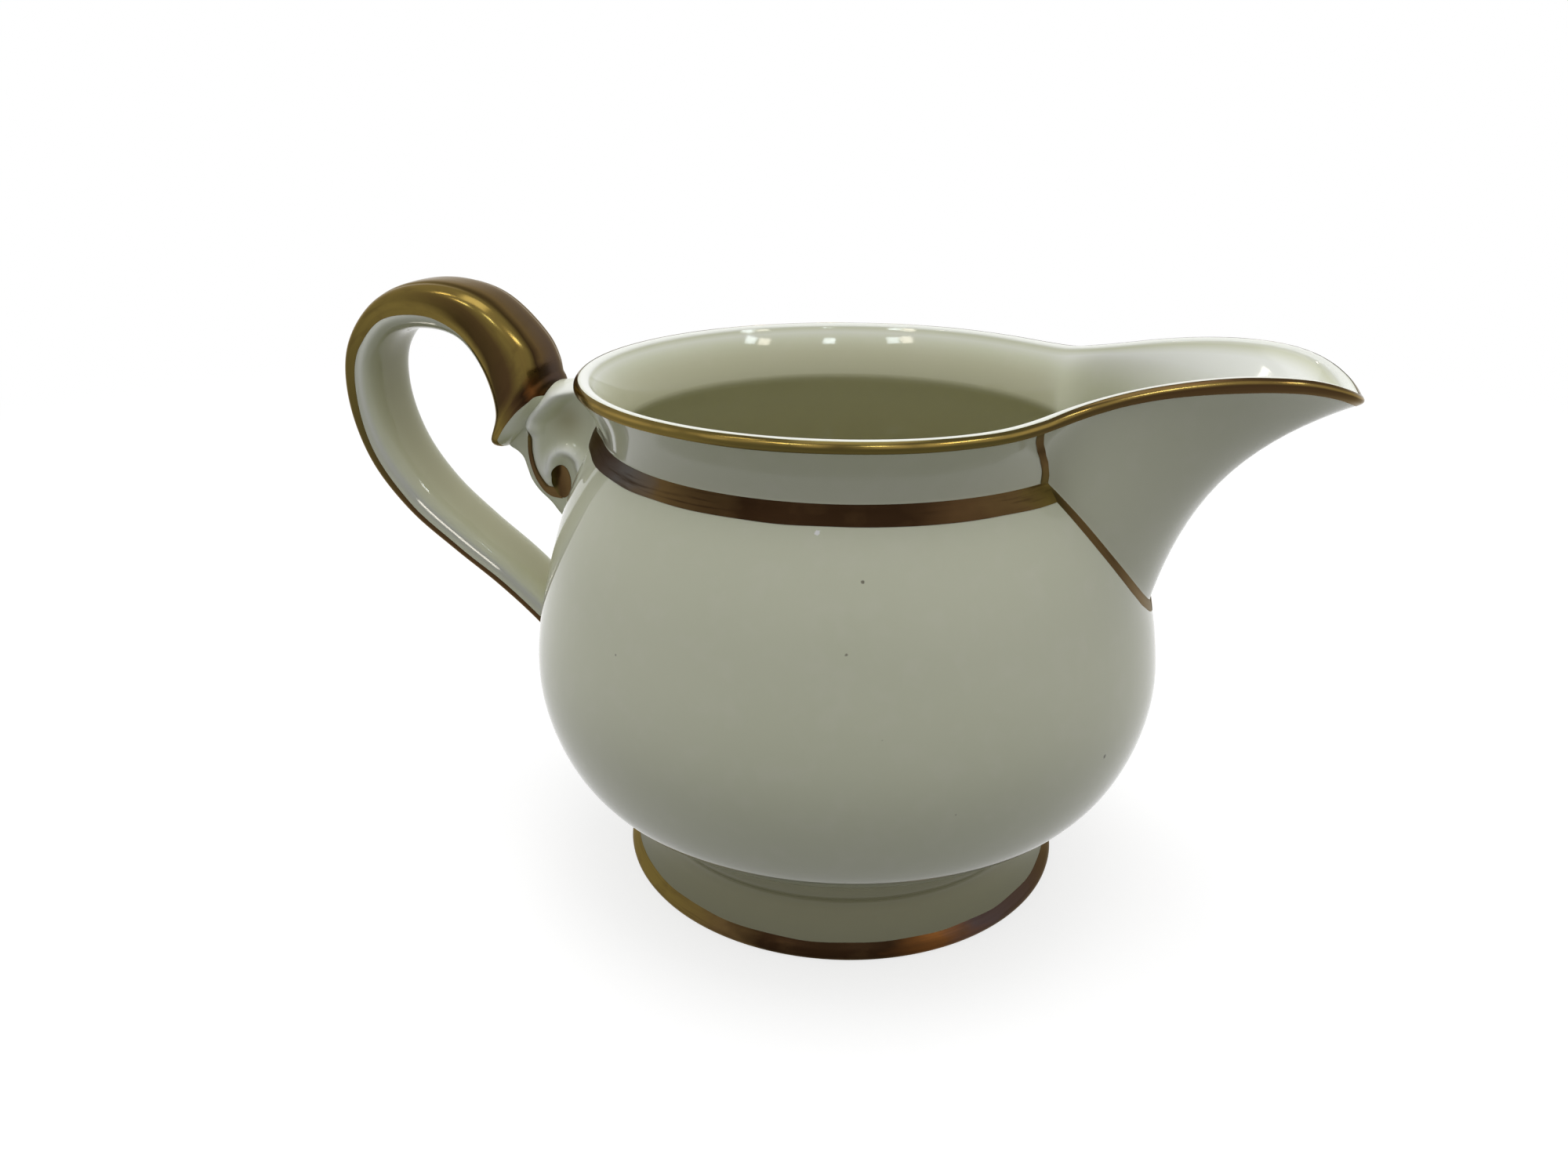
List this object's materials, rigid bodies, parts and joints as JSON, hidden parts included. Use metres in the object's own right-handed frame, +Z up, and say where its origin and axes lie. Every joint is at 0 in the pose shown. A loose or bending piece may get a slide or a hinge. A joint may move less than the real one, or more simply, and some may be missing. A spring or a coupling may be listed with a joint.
{
  "type": "cream jug",
  "caption": "Low round porcelain cream jug with a flared neck, a long lifted spout, a looped handle ending in a scroll, a turned foot ring and gilt lines.",
  "frame": {"origin": "centre of the overall box, at the level of the table that the foot stands on", "axes": "+X along the spout, with the handle on the -X side; +Z up; the jug is mirrored about the XZ plane"},
  "size_m": [0.1438, 0.09, 0.0834],
  "materials": {
    "porcelain": "clear glossy glaze on ivory porcelain",
    "gilding": "worn burnished gold with brown tarnish"
  },
  "bodies": {
    "root": {"bowl": "porcelain", "foot_ring": "porcelain", "neck_collar": "porcelain", "spout": "porcelain", "handle_strap": "porcelain", "handle_scroll": "porcelain", "gilt_rim": "gilding", "gilt_neck_band": "gilding", "gilt_upright_far": "gilding", "gilt_upright_near": "gilding", "gilt_vee_far": "gilding", "gilt_vee_near": "gilding", "gilt_foot_band": "gilding", "gilt_handle_back": "gilding", "gilt_scroll_far": "gilding", "gilt_scroll_near": "gilding"}
  },
  "joints": []
}
